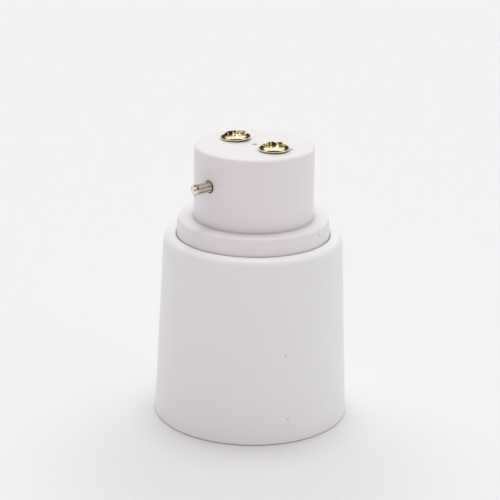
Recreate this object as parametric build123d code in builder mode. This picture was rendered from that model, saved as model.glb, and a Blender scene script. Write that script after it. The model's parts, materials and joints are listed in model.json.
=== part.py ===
"""Bayonet-to-screw lamp socket adapter.

A two-pin bayonet cap on top goes into a bayonet holder, and a screw sleeve below takes a screw bulb.
Millimetres. The adapter stands on its open rim: origin at the rim's centre, +Z up through the cap.
The bayonet pins lie along X and the two dished contacts along Y.
"""
import os

from build123d import *

# Screw sleeve, drawn from sheet; its thread is rolled on the plain wall given here
thread_radius = 13.3
thread_depth = 1.1
sleeve_sheet = 0.4
sleeve_mouth_height = 5.0
sleeve_lip_round = 0.9
sleeve_neck_length = 3.9
sleeve_floor_round = 0.8
sleeve_floor_ledge = 1.6
tab_margin = 0.4

# Outer shell
shell_height = 34.8
shell_wall = 1.9
rim_space = 2.48
top_space = 0.85
shoulder_round = 1.3
rim_break = 0.25
cup_wall = 2.1
cup_depth = 4.6
cup_edge_round = 0.4
cross_wall = 2.2
rib_count = 6
rib_thickness = 1.2
rib_clearance = 0.15
rib_bite = 0.5
rib_start_above_mouth = 2.0

# Bayonet base: spigot, collar and cap
spigot_gap = 0.25
spigot_wall = 2.0
collar_rise = 3.2
collar_draft = 0.2
collar_edge_round = 0.4
collar_roof = 2.0
cap_radius = 11.0
cap_height = 13.6
cap_wall = 1.8
cap_roof = 1.8
cap_edge_round = 0.45
cap_foot_round = 0.2
cavity_round = 0.5
gate_radius = 0.5
gate_depth = 0.2

# Bayonet pins
pin_radius = 1.0
pin_reach = 3.55
pin_depth = 4.0
pin_below_top = 5.95
pin_chamfer = 0.2
pin_groove_depth = 0.2
pin_groove_proud = 0.05
pin_fit = 0.02
pin_relief = 0.2
pin_relief_depth = 0.6
pin_rib_width = 4.8
pin_rib_margin = 1.65
pin_rib_end = 0.6

# Contacts: dished rivets clinched through the cap's roof
contact_offset = 5.13
contact_radius = 2.85
contact_rise = 0.92
contact_crest_width = 0.15
contact_inner_chamfer = 0.06
contact_edge_chamfer = 0.12
contact_rim_lift = 0.28
contact_foot_radius = 2.2
dish_radius = 1.7
dish_height = 0.3
contact_shank_radius = 1.6
contact_tail_radius = 2.3
contact_tail = 0.4
contact_bore_radius = 0.9
contact_bore_end = 1.0
shank_fit = 0.03

# Strips between the contacts and the rivets below
strip_sheet = 0.5
strip_width = 5.0
strip_wall_gap = 0.8
strip_bend = 0.9
strip_pad_margin = 0.8
strip_foot_margin = 0.2

# Rivets through the cross wall
rivet_radius = 1.0
rivet_head_radius = 1.6
rivet_head = 0.8
rivet_head_chamfer = 0.3
rivet_from_strip = 1.5
rivet_fit = 0.05

# Centre contact, one folded spring leaf
leaf_sheet = 0.4
leaf_width = 5.2
leaf_tip_width = 3.6
leaf_foot_margin = 0.5
leaf_bend_margin = 0.4
leaf_drop = 4.65
leaf_apex_offset = 0.2
leaf_tip_reach = 2.4
leaf_tip_lift = 1.75
leaf_bend = 1.0
leaf_corner = 0.8

# Self-tapping screws that hold the base to the shell
screw_radius = 1.1
screw_length = 8.2
screw_point = 1.2
screw_point_radius = 0.3
screw_head_radius = 2.1
screw_head = 1.4
screw_head_round = 0.9
screw_head_clearance = 0.15
screw_hole_clearance = 0.15
screw_fit = 0.02
boss_wall = 1.3
boss_end = 1.2
boss_web = 1.6
hole_end_gap = 0.4

# Heights worked out from the sizes above
cross_top = shell_height - cup_depth
cross_bottom = cross_top - cross_wall
collar_top = shell_height + collar_rise
cap_top = collar_top + cap_height
cap_ceiling = cap_top - cap_roof
collar_ceiling = collar_top - collar_roof
pin_height = cap_top - pin_below_top
sleeve_floor = cross_bottom - sleeve_sheet
leaf_floor = cross_bottom - leaf_sheet
rivet_head_top = cross_top + rivet_head

# Radii and places worked out from the sizes above
sleeve_radius = thread_radius + sleeve_sheet
neck_radius = thread_radius - thread_depth
floor_opening = neck_radius - sleeve_floor_ledge
shell_rim_radius = sleeve_radius + rim_space + shell_wall
shell_top_radius = sleeve_radius + top_space + shell_wall
shell_taper = (shell_rim_radius - shell_top_radius) / shell_height
cup_radius = shell_top_radius - cup_wall
collar_foot_radius = cup_radius - spigot_gap
collar_top_radius = collar_foot_radius - collar_draft
spigot_cavity = collar_foot_radius - spigot_wall
cap_cavity = cap_radius - cap_wall
strip_run = cap_cavity - strip_wall_gap
rivet_offset = strip_run - strip_sheet - rivet_from_strip
screw_offset = neck_radius - sleeve_floor_round - screw_head_radius - screw_head_clearance
boss_radius = screw_radius + boss_wall

os.makedirs("parts", exist_ok=True)

# Outer shell: tapered skirt, cross wall, cup for the base above and ribs round the sleeve below
with BuildPart() as outer_shell:
    with BuildSketch(Plane.XZ) as shell_profile:
        with BuildLine():
            Polyline(
                (shell_rim_radius, 0),
                (shell_top_radius, shell_height),
                (cup_radius, shell_height),
                (cup_radius, cross_top),
                (0, cross_top),
                (0, cross_bottom),
                (shell_rim_radius - shell_taper * cross_bottom - shell_wall, cross_bottom),
                (shell_rim_radius - shell_wall, 0),
                close=True,
            )
        make_face()
        top_corners = shell_profile.vertices().group_by(Axis.Y)[-1].sort_by(Axis.X)
        fillet(top_corners[-1], shoulder_round)
        fillet(top_corners[0], cup_edge_round)
        chamfer(shell_profile.vertices().group_by(Axis.Y)[0], rim_break)
    revolve(axis=Axis.Z)
    rib_bottom = sleeve_mouth_height + rib_start_above_mouth
    rib_inner = sleeve_radius + rib_clearance
    rib_outer = shell_rim_radius - shell_taper * rib_bottom - shell_wall + rib_bite
    with BuildSketch(Plane.XY.offset(rib_bottom)):
        with PolarLocations((rib_inner + rib_outer) / 2, rib_count, start_angle=180 / rib_count):
            Rectangle(rib_outer - rib_inner, rib_thickness)
    extrude(amount=cross_bottom - rib_bottom)
    with Locations((0, 0, cross_top)):
        with GridLocations(2 * screw_offset, 0, 2, 1):
            Hole(screw_radius + screw_hole_clearance)
        with GridLocations(0, 2 * rivet_offset, 1, 2):
            Hole(rivet_radius + rivet_fit)
outer_shell.part.label = "outer_shell"
export_step(outer_shell.part, "parts/outer_shell.step")

# Bayonet base: hollow spigot, collar and cap in one moulding, open towards the cross wall
with BuildPart() as bayonet_base:
    with BuildSketch(Plane.XZ) as base_profile:
        with BuildLine():
            Polyline(
                (0, cap_top),
                (cap_radius, cap_top),
                (cap_radius, collar_top),
                (collar_top_radius, collar_top),
                (collar_foot_radius, shell_height),
                (collar_foot_radius, cross_top),
                (spigot_cavity, cross_top),
                (spigot_cavity, collar_ceiling),
                (cap_cavity, collar_ceiling),
                (cap_cavity, cap_ceiling),
                (0, cap_ceiling),
                close=True,
            )
        make_face()
        corners = base_profile.vertices()
        on_collar = corners.filter_by_position(Axis.Y, collar_top, collar_top).sort_by(Axis.X)
        on_top = corners.filter_by_position(Axis.Y, cap_top, cap_top).sort_by(Axis.X)
        on_ceiling = corners.filter_by_position(Axis.Y, cap_ceiling, cap_ceiling).sort_by(Axis.X)
        under_collar = corners.filter_by_position(Axis.Y, collar_ceiling, collar_ceiling)
        fillet(on_collar[0], cap_foot_round)
        fillet(on_collar[-1], collar_edge_round)
        fillet(on_top[-1], cap_edge_round)
        fillet([on_ceiling[-1], *under_collar], cavity_round)
    revolve(axis=Axis.Z)
    # Ribs that take the pins, from below each pin up to the ceiling
    pin_rib_inner = cap_radius - pin_depth - pin_rib_end
    pin_rib_outer = cap_radius - cap_wall / 2
    pin_rib_bottom = pin_height - pin_radius - pin_rib_margin
    with BuildSketch(Plane.XY.offset(pin_rib_bottom)):
        with PolarLocations((pin_rib_inner + pin_rib_outer) / 2, 2):
            Rectangle(pin_rib_outer - pin_rib_inner, pin_rib_width)
    extrude(amount=cap_ceiling + cap_roof / 2 - pin_rib_bottom)
    # Screw bosses, each tied to the spigot's wall by a web
    boss_hole_end = sleeve_floor + screw_length + hole_end_gap
    boss_top = boss_hole_end + boss_end
    with BuildSketch(Plane.XY.offset(cross_top)):
        with PolarLocations(screw_offset, 2):
            Circle(boss_radius)
    extrude(amount=boss_top - cross_top)
    web_outer = collar_foot_radius - spigot_wall / 2
    with BuildSketch(Plane.XY.offset(cross_top)):
        with PolarLocations((screw_offset + web_outer) / 2, 2):
            Rectangle(web_outer - screw_offset, boss_web)
    extrude(amount=collar_ceiling + collar_roof / 2 - cross_top)
    with BuildSketch(Plane.XY.offset(cross_top)):
        with PolarLocations(screw_offset, 2):
            Circle(screw_radius + screw_fit)
    extrude(amount=boss_hole_end - cross_top, mode=Mode.SUBTRACT)
    # Pin holes, contact holes and the mark left by the moulding gate
    for side in (1, -1):
        with BuildSketch(Plane.YZ.offset(side * (cap_radius - pin_depth))):
            with Locations((0, pin_height)):
                Circle(pin_radius + pin_fit)
        extrude(amount=side * pin_depth, mode=Mode.SUBTRACT)
        with BuildSketch(Plane.YZ.offset(side * (cap_radius - pin_relief_depth))):
            with Locations((0, pin_height)):
                Circle(pin_radius + pin_relief)
        extrude(amount=side * pin_relief_depth, mode=Mode.SUBTRACT)
    with Locations((0, 0, cap_top)):
        with GridLocations(0, 2 * contact_offset, 1, 2):
            Hole(contact_shank_radius + shank_fit, depth=cap_roof)
        Hole(gate_radius, depth=gate_depth)
bayonet_base.part.label = "bayonet_base"
export_step(bayonet_base.part, "parts/bayonet_base.step")

# Bayonet pins: a shank pressed into the cap, a groove in the hole's relief, and a free end
for side, name in ((-1, "bayonet_pin_left"), (1, "bayonet_pin_right")):
    pin_inner = cap_radius - pin_depth
    pin_outer = cap_radius + pin_reach
    groove_start = cap_radius - pin_relief_depth
    groove_end = cap_radius + pin_groove_proud
    groove_radius = pin_radius - pin_groove_depth
    with BuildPart() as bayonet_pin:
        with BuildSketch(Plane.XZ.shift_origin((0, 0, pin_height))):
            with BuildLine():
                Polyline(
                    (side * pin_inner, 0),
                    (side * pin_inner, pin_radius - pin_chamfer),
                    (side * (pin_inner + pin_chamfer), pin_radius),
                    (side * groove_start, pin_radius),
                    (side * groove_start, groove_radius),
                    (side * groove_end, groove_radius),
                    (side * groove_end, pin_radius),
                    (side * (pin_outer - pin_chamfer), pin_radius),
                    (side * pin_outer, pin_radius - pin_chamfer),
                    (side * pin_outer, 0),
                    close=True,
                )
            make_face()
        revolve(axis=Axis((0, 0, pin_height), (1, 0, 0)))
    bayonet_pin.part.label = name
    export_step(bayonet_pin.part, f"parts/{name}.step")

# Contacts: a dished head on the cap's roof, and a tubular tail clinched under the strip
for side, name in ((1, "contact_live"), (-1, "contact_neutral")):
    contact_centre = (0, side * contact_offset, cap_top)
    contact_plane = Plane(origin=contact_centre, x_dir=(1, 0, 0), z_dir=(0, -1, 0))
    tail_top = -cap_roof - strip_sheet
    tail_bottom = tail_top - contact_tail
    crest_inner = contact_radius - contact_edge_chamfer - contact_crest_width
    with BuildPart() as contact:
        with BuildSketch(contact_plane):
            with BuildLine():
                Polyline(
                    (0, dish_height),
                    (dish_radius, dish_height),
                    (crest_inner - contact_inner_chamfer, contact_rise - contact_inner_chamfer),
                    (crest_inner, contact_rise),
                    (contact_radius - contact_edge_chamfer, contact_rise),
                    (contact_radius, contact_rise - contact_edge_chamfer),
                    (contact_radius, contact_rim_lift),
                    (contact_foot_radius, 0),
                    (contact_shank_radius, 0),
                    (contact_shank_radius, tail_top),
                    (contact_tail_radius, tail_top),
                    (contact_tail_radius, tail_bottom),
                    (contact_bore_radius, tail_bottom),
                    (contact_bore_radius, -contact_bore_end),
                    (0, -contact_bore_end),
                    close=True,
                )
            make_face()
        revolve(axis=Axis(contact_centre, (0, 0, 1)))
    contact.part.label = name
    export_step(contact.part, f"parts/{name}.step")

# Strips: a pad under the contact, a run down the cap's wall and a foot on the rivet's head
for side, name in ((1, "live_strip"), (-1, "neutral_strip")):
    with BuildPart() as strip:
        with BuildSketch(Plane.YZ):
            with BuildLine():
                FilletPolyline(
                    (side * (contact_offset - contact_shank_radius - strip_pad_margin), cap_ceiling),
                    (side * strip_run, cap_ceiling),
                    (side * strip_run, rivet_head_top),
                    (side * (rivet_offset - rivet_head_radius - strip_foot_margin), rivet_head_top),
                    radius=strip_bend,
                )
                offset(amount=strip_sheet, side=Side.RIGHT if side > 0 else Side.LEFT)
            make_face()
        extrude(amount=strip_width / 2, both=True)
        with Locations((0, side * contact_offset, cap_ceiling)):
            Hole(contact_shank_radius + shank_fit, depth=2 * strip_sheet)
    strip.part.label = name
    export_step(strip.part, f"parts/{name}.step")

# Screw sleeve: flared mouth, thread wall, neck and a floor cut back to three tabs
with BuildPart() as screw_sleeve:
    thread_end = sleeve_floor - sleeve_neck_length - thread_depth
    tab_radius = screw_head_radius + tab_margin
    rivet_tab_radius = rivet_head_radius + tab_margin
    with BuildSketch(Plane.XZ):
        with BuildLine():
            FilletPolyline(
                (thread_radius + sleeve_lip_round + sleeve_sheet, sleeve_mouth_height),
                (thread_radius, sleeve_mouth_height),
                (thread_radius, thread_end),
                (neck_radius, thread_end + thread_depth),
                (neck_radius, sleeve_floor),
                (rivet_offset - 2 * rivet_tab_radius, sleeve_floor),
                radius=[sleeve_lip_round, 0, 0, sleeve_floor_round],
            )
            offset(amount=sleeve_sheet, side=Side.RIGHT)
        make_face()
    revolve(axis=Axis.Z)
    with BuildSketch(Plane.XY.offset(sleeve_floor)):
        Circle(floor_opening)
        with PolarLocations(screw_offset, 2):
            Circle(tab_radius, mode=Mode.SUBTRACT)
        with PolarLocations((screw_offset + neck_radius) / 2, 2):
            Rectangle(neck_radius - screw_offset, 2 * tab_radius, mode=Mode.SUBTRACT)
        with Locations((0, -rivet_offset)):
            Circle(rivet_tab_radius, mode=Mode.SUBTRACT)
        with Locations((0, -(rivet_offset + neck_radius) / 2)):
            Rectangle(2 * rivet_tab_radius, neck_radius - rivet_offset, mode=Mode.SUBTRACT)
    extrude(amount=sleeve_sheet, mode=Mode.SUBTRACT)
    with Locations((0, 0, cross_bottom)):
        with GridLocations(2 * screw_offset, 0, 2, 1):
            Hole(screw_radius + screw_hole_clearance)
        with Locations((0, -rivet_offset)):
            Hole(rivet_radius + rivet_fit)
screw_sleeve.part.label = "screw_sleeve"
export_step(screw_sleeve.part, "parts/screw_sleeve.step")

# Centre contact: foot under the cross wall, tongue that dips to the bulb's tip and turns up again
with BuildPart() as centre_contact:
    foot_end = rivet_offset + rivet_head_radius + leaf_foot_margin
    bend_line = rivet_offset - rivet_head_radius - leaf_bend_margin
    apex_height = cross_bottom - leaf_drop + leaf_sheet
    tip_end = leaf_apex_offset - leaf_tip_reach
    with BuildSketch(Plane.YZ):
        with BuildLine():
            FilletPolyline(
                (foot_end, cross_bottom),
                (bend_line, cross_bottom),
                (leaf_apex_offset, apex_height),
                (tip_end, apex_height + leaf_tip_lift),
                radius=leaf_bend,
            )
            offset(amount=leaf_sheet, side=Side.LEFT)
        make_face()
    extrude(amount=leaf_width / 2, both=True)
    with BuildSketch(Plane.XY.offset(cross_bottom)) as leaf_outline:
        with BuildLine():
            Polyline(
                (leaf_width / 2, foot_end),
                (leaf_width / 2, bend_line),
                (leaf_tip_width / 2, tip_end - leaf_sheet),
                (-leaf_tip_width / 2, tip_end - leaf_sheet),
                (-leaf_width / 2, bend_line),
                (-leaf_width / 2, foot_end),
                close=True,
            )
        make_face()
        fillet(leaf_outline.vertices().group_by(Axis.Y)[-1], leaf_corner)
        fillet(leaf_outline.vertices().group_by(Axis.Y)[0], leaf_corner)
    extrude(amount=-2 * leaf_drop, mode=Mode.INTERSECT)
    with Locations((0, rivet_offset, cross_bottom)):
        Hole(rivet_radius + rivet_fit, depth=2 * leaf_sheet)
centre_contact.part.label = "centre_contact"
export_step(centre_contact.part, "parts/centre_contact.step")

# Rivets: the lower head holds the leaf or the sleeve's tab, the upper head meets the strip's foot
rivet_seats = ((1, "centre_contact_rivet", leaf_floor), (-1, "sleeve_rivet", sleeve_floor))
for side, name, seat in rivet_seats:
    rivet_centre = (0, side * rivet_offset, 0)
    rivet_plane = Plane(origin=rivet_centre, x_dir=(1, 0, 0), z_dir=(0, -1, 0))
    with BuildPart() as rivet:
        with BuildSketch(rivet_plane) as rivet_profile:
            with BuildLine():
                Polyline(
                    (0, seat - rivet_head),
                    (rivet_head_radius, seat - rivet_head),
                    (rivet_head_radius, seat),
                    (rivet_radius, seat),
                    (rivet_radius, cross_top),
                    (rivet_head_radius, cross_top),
                    (rivet_head_radius, rivet_head_top),
                    (0, rivet_head_top),
                    close=True,
                )
            make_face()
            rim_corners = rivet_profile.vertices().filter_by_position(
                Axis.X, rivet_head_radius, rivet_head_radius
            )
            outer_corners = [rim_corners.sort_by(Axis.Y)[0], rim_corners.sort_by(Axis.Y)[-1]]
            chamfer(outer_corners, rivet_head_chamfer)
        revolve(axis=Axis(rivet_centre, (0, 0, 1)))
    rivet.part.label = name
    export_step(rivet.part, f"parts/{name}.step")

# Screws: pan head under the sleeve's tab, shank up into the base's boss
for side, name in ((-1, "base_screw_left"), (1, "base_screw_right")):
    screw_centre = (side * screw_offset, 0, 0)
    screw_plane = Plane(origin=screw_centre, x_dir=(1, 0, 0), z_dir=(0, -1, 0))
    screw_end = sleeve_floor + screw_length
    with BuildPart() as base_screw:
        with BuildSketch(screw_plane) as screw_profile:
            with BuildLine():
                Polyline(
                    (0, sleeve_floor - screw_head),
                    (screw_head_radius, sleeve_floor - screw_head),
                    (screw_head_radius, sleeve_floor),
                    (screw_radius, sleeve_floor),
                    (screw_radius, screw_end - screw_point),
                    (screw_point_radius, screw_end),
                    (0, screw_end),
                    close=True,
                )
            make_face()
            fillet(screw_profile.vertices().group_by(Axis.Y)[0].sort_by(Axis.X)[-1], screw_head_round)
        revolve(axis=Axis(screw_centre, (0, 0, 1)))
    base_screw.part.label = name
    export_step(base_screw.part, f"parts/{name}.step")
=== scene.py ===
"""Looks of a bayonet-to-screw lamp socket adapter.

Each operator builds one piece, or one group of like pieces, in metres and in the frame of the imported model.
The adapter stands on its open rim, with the bayonet pins along X and the two dished contacts along Y.
"""
import json
import math

import bmesh
import bpy
from bpy.props import FloatProperty, FloatVectorProperty, IntProperty, PointerProperty
from mathutils import Matrix, Vector


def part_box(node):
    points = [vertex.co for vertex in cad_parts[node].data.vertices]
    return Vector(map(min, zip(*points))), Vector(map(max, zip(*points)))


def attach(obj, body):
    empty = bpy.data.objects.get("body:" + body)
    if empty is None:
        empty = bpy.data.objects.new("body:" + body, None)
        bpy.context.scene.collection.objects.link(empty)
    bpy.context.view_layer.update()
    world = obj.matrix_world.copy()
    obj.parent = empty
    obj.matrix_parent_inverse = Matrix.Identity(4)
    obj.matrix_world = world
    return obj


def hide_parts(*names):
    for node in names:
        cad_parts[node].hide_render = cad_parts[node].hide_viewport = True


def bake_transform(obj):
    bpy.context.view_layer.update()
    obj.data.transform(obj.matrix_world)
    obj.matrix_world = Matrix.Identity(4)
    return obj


bl_info = {
    "name": "Lamp socket adapter",
    "version": (1, 0, 0),
    "blender": (4, 5, 0),
    "location": "3D View > Sidebar > Adapter",
    "description": "Builds the pieces of a bayonet-to-screw lamp socket adapter",
    "category": "Object",
}

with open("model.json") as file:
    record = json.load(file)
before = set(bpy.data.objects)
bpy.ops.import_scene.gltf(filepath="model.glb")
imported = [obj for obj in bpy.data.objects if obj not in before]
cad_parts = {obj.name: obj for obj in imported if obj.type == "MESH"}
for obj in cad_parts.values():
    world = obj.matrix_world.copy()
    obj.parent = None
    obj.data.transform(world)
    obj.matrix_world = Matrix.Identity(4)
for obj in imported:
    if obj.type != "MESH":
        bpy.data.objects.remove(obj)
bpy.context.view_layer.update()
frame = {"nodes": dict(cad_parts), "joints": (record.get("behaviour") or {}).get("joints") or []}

MM = 0.001
TURN = 2 * math.pi
UP = Vector((0.0, 0.0, 1.0))
WELD = 1e-7
ARC_STEP = math.radians(9)
CREASE = math.radians(32)
SEAT = "housing"

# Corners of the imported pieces, which place everything below
SHELL_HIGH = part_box("outer_shell")[1]
BASE_LOW, BASE_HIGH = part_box("bayonet_base")
PIN_LOW, PIN_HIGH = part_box("bayonet_pin_right")
CONTACT_LOW, CONTACT_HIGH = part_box("contact_live")
SLEEVE_LOW, SLEEVE_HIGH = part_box("screw_sleeve")
LEAF_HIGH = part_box("centre_contact")[1]
RIVET_LOW, RIVET_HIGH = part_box("centre_contact_rivet")
SCREW_LOW, SCREW_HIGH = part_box("base_screw_right")
CROSS_TOP = BASE_LOW.z
CROSS_BOTTOM = SLEEVE_HIGH.z
CAP_TOP = BASE_HIGH.z
PIN_HEIGHT = (PIN_LOW.z + PIN_HIGH.z) / 2
CONTACT_OFFSET = (CONTACT_LOW.y + CONTACT_HIGH.y) / 2
RIVET_OFFSET = (RIVET_LOW.y + RIVET_HIGH.y) / 2
SCREW_OFFSET = (SCREW_LOW.x + SCREW_HIGH.x) / 2
BEND_LINE = frame["joints"][0]["pos_m"][1]


# Nodes as expressions

def operator_pair(operation):
    """The methods for an operator and for its reflected form."""

    def forward(field, other):
        return field.tree.math(operation, field, other)

    def reflected(field, other):
        return field.tree.math(operation, other, field)

    return forward, reflected


class Field:
    """One output of a node. Sums and products of fields add the Math nodes that work them out."""

    __add__, __radd__ = operator_pair("ADD")
    __sub__, __rsub__ = operator_pair("SUBTRACT")
    __mul__, __rmul__ = operator_pair("MULTIPLY")
    __truediv__, __rtruediv__ = operator_pair("DIVIDE")
    __pow__, __rpow__ = operator_pair("POWER")

    def __init__(self, tree, socket):
        self.tree = tree
        self.socket = socket

    def __abs__(self):
        return self.tree.math("ABSOLUTE", self)

    def __neg__(self):
        return self * -1.0

    def of(self, name):
        """Another output of the same node."""
        return Field(self.tree, self.socket.node.outputs[name])


class Tree:
    """A node tree that is filled by calls instead of by hand."""

    def __init__(self, group):
        self.group = group

    def add(self, kind, settings=None, inputs=None, output=0):
        """A new node: its type, its settings, and the values or links of its sockets."""
        node = self.group.nodes.new(kind)
        for name, value in (settings or {}).items():
            setattr(node, name, value)
        pairs = inputs.items() if isinstance(inputs, dict) else enumerate(inputs or ())
        for key, value in pairs:
            self.feed(node.inputs[key], value)
        return Field(self, node.outputs[output])

    def feed(self, socket, value):
        """Links a field, or several, to a socket, or sets its plain value."""
        if isinstance(value, Field):
            self.group.links.new(value.socket, socket)
        elif isinstance(value, list):
            for field in value:
                self.group.links.new(field.socket, socket)
        elif socket.type == "RGBA":
            socket.default_value = (*value[:3], 1.0)
        else:
            socket.default_value = value

    def math(self, operation, *values):
        return self.add("ShaderNodeMath", {"operation": operation}, values)

    def most(self, first, *others):
        """The largest of some values at each place."""
        for other in others:
            first = self.math("MAXIMUM", first, other)
        return first

    def span(self, x, y):
        """The distance that two legs at right angles cover."""
        return self.math("SQRT", x * x + y * y)

    def rise(self, value, low, high):
        """0 below low, 1 above high and a smooth rise between them."""
        settings = {"interpolation_type": "SMOOTHSTEP"}
        inputs = {"Value": value, "From Min": low, "From Max": high}
        return self.add("ShaderNodeMapRange", settings, inputs)

    def fall(self, value, low, high):
        """1 below low, 0 above high and a smooth fall between them."""
        return 1.0 - self.rise(value, low, high)

    def vector(self, operation, *values, output="Vector"):
        return self.add("ShaderNodeVectorMath", {"operation": operation}, values, output)

    def combine(self, x=0.0, y=0.0, z=0.0):
        return self.add("ShaderNodeCombineXYZ", None, (x, y, z))

    def separate(self, vector):
        """The X, Y and Z of a vector."""
        x = self.add("ShaderNodeSeparateXYZ", None, [vector])
        return x, x.of("Y"), x.of("Z")

    def noise(self, place, scale, detail=2.0, roughness=0.5):
        inputs = {"Vector": place, "Scale": scale, "Detail": detail, "Roughness": roughness}
        return self.add("ShaderNodeTexNoise", None, inputs)

    def mix(self, share, first, second):
        """A colour between two others."""
        return self.add("ShaderNodeMix", {"data_type": "RGBA"}, {0: share, 6: first, 7: second}, 2)


class SurfaceTree(Tree):
    """The nodes of one material, with the surface's place in metres and its shader."""

    def __init__(self, name):
        self.material = bpy.data.materials.new(name)
        self.material.use_nodes = True
        super().__init__(self.material.node_tree)
        self.shader = self.group.nodes["Principled BSDF"]
        self.place = self.add("ShaderNodeTexCoord", output="Object")

    def set(self, **values):
        """Feeds the shader's sockets: base_color is its Base Color, and so on."""
        titles = {title.lower().replace(" ", "_"): title for title in self.shader.inputs.keys()}
        for name, value in values.items():
            self.feed(self.shader.inputs[titles[name]], value)

    def bump(self, height, depth):
        """Presses a height of 0 to 1 into the surface, that many metres deep."""
        inputs = {"Strength": 1.0, "Distance": depth, "Height": height}
        self.set(normal=self.add("ShaderNodeBump", None, inputs))

    def stretched(self, factors):
        """The surface's place, stretched for streaks that follow an axis."""
        return self.vector("MULTIPLY", self.place, factors)

    def away_from(self, point):
        return self.vector("DISTANCE", self.place, point, output="Value")

    def speck(self, degrees, radius, height, size):
        """1 within a small spot at a heading, a distance from the axis and a height."""
        heading = math.radians(degrees)
        centre = (radius * math.cos(heading), radius * math.sin(heading), height)
        return self.fall(self.away_from(centre), 0.4 * size, size)

    def attribute(self, name):
        """A value that the piece's own shape tree has stored on its points."""
        return self.add("ShaderNodeAttribute", {"attribute_name": name}, output="Fac")


class ShapeTree(Tree):
    """Geometry nodes with named sizes that turn a blank into a finished piece."""

    def __init__(self, name, sizes):
        super().__init__(bpy.data.node_groups.new(name, "GeometryNodeTree"))
        self.sizes = sizes
        face = self.group.interface
        face.new_socket("Blank", in_out="INPUT", socket_type="NodeSocketGeometry")
        for label, size in sizes.items():
            kind = "NodeSocketInt" if isinstance(size, int) else "NodeSocketFloat"
            face.new_socket(label, in_out="INPUT", socket_type=kind)
        face.new_socket("Piece", in_out="OUTPUT", socket_type="NodeSocketGeometry")
        self.entry = self.group.nodes.new("NodeGroupInput")

    def __getitem__(self, label):
        return Field(self, self.entry.outputs[label])

    def index(self):
        return self.add("GeometryNodeInputIndex")

    def side(self):
        """1 on the first of two copies and -1 on the second."""
        return 1.0 - 2.0 * self.index()

    def position(self):
        return self.add("GeometryNodeInputPosition")

    def polar(self):
        """Distance from the Z axis, angle in turns, and height of each point."""
        x, y, z = self.separate(self.position())
        return self.span(x, y), self.math("ARCTAN2", y, x) / TURN, z

    def pushed_out(self, piece, distance, lift=0.0):
        """Moves each point away from the Z axis by a distance, and up by a lift."""
        flat = self.vector("MULTIPLY", self.position(), (1.0, 1.0, 0.0))
        inputs = {"Vector": self.vector("NORMALIZE", flat), "Scale": distance}
        outward = self.add("ShaderNodeVectorMath", {"operation": "SCALE"}, inputs, "Vector")
        offset = self.vector("ADD", outward, self.combine(z=lift))
        return self.add("GeometryNodeSetPosition", None, {"Geometry": piece, "Offset": offset})

    def stored(self, piece, name, value):
        """Keeps a value on the points for the material."""
        settings = {"data_type": "FLOAT", "domain": "POINT"}
        inputs = {"Geometry": piece, "Name": name, "Value": value}
        return self.add("GeometryNodeStoreNamedAttribute", settings, inputs)

    def placed(self, piece, count, place, turn=(0.0, 0.0, 0.0)):
        """Copies of a piece; place and turn may follow from each copy's index."""
        points = self.add("GeometryNodePoints", None, {"Count": count, "Position": place})
        inputs = {"Points": points, "Instance": piece, "Rotation": turn}
        return self.add("GeometryNodeInstanceOnPoints", None, inputs)

    def twins(self, piece, x=0.0, y=0.0, z=0.0, turn=(0.0, 0.0, 0.0)):
        """Two copies of a piece at one height, on opposite sides of the Z axis."""
        side = self.side()
        return self.placed(piece, 2, self.combine(side * x, side * y, z), turn)

    def lying(self):
        """Turns that lay two upright copies along X, each pointing away from the Z axis."""
        return self.combine(y=self.side() * (math.pi / 2))

    def moved(self, piece, place, turn=(0.0, 0.0, 0.0)):
        inputs = {"Geometry": piece, "Translation": place, "Rotation": turn}
        return self.add("GeometryNodeTransform", None, inputs)

    def rod(self, radius, depth, sides=48):
        inputs = {"Vertices": sides, "Radius": radius, "Depth": depth}
        return self.add("GeometryNodeMeshCylinder", None, inputs)

    def block(self, x, y, z):
        return self.add("GeometryNodeMeshCube", None, {"Size": self.combine(x, y, z)})

    def cut(self, piece, *cutters):
        settings = {"operation": "DIFFERENCE", "solver": "MANIFOLD"}
        return self.add("GeometryNodeMeshBoolean", settings, {"Mesh 1": piece, "Mesh 2": list(cutters)})

    def joined(self, *pieces):
        settings = {"operation": "UNION", "solver": "MANIFOLD"}
        return self.add("GeometryNodeMeshBoolean", settings, {"Mesh 2": list(pieces)})

    def shape(self, obj, piece, material):
        """Ends the tree, runs it on the blank and leaves a plain mesh behind."""
        real = self.add("GeometryNodeRealizeInstances", None, [piece])
        dressed = self.add("GeometryNodeSetMaterial", None, {"Geometry": real, "Material": material})
        last = self.group.nodes.new("NodeGroupOutput")
        self.group.links.new(dressed.socket, last.inputs["Piece"])
        modifier = obj.modifiers.new(self.group.name, "NODES")
        modifier.node_group = self.group
        for item in self.group.interface.items_tree:
            if item.in_out == "INPUT" and item.name in self.sizes:
                modifier[item.identifier] = self.sizes[item.name]
        graph = bpy.context.evaluated_depsgraph_get()
        mesh = bpy.data.meshes.new_from_object(obj.evaluated_get(graph), depsgraph=graph)
        obj.modifiers.remove(modifier)
        obj.data = mesh
        if not mesh.polygons:
            raise RuntimeError(f"{obj.name} came out empty")
        mesh.shade_smooth()
        mesh.set_sharp_from_angle(angle=CREASE)


# Meshes

def rounded(corners, step):
    """The points of a section from (across, up, round) corners: arcs at the rounds, runs cut to a step."""
    points = []
    for index, (across, up, radius) in enumerate(corners):
        corner = Vector((across, up))
        stretch = [corner]
        if radius:
            stretch = arc(Vector(corners[index - 1][:2]), corner, Vector(corners[index + 1][:2]), radius)
        if points:
            run = stretch[0] - points[-1]
            pieces = math.ceil(run.length / step)
            points += [points[-1] + run * share / pieces for share in range(1, pieces)]
        points += stretch
    return points


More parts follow.
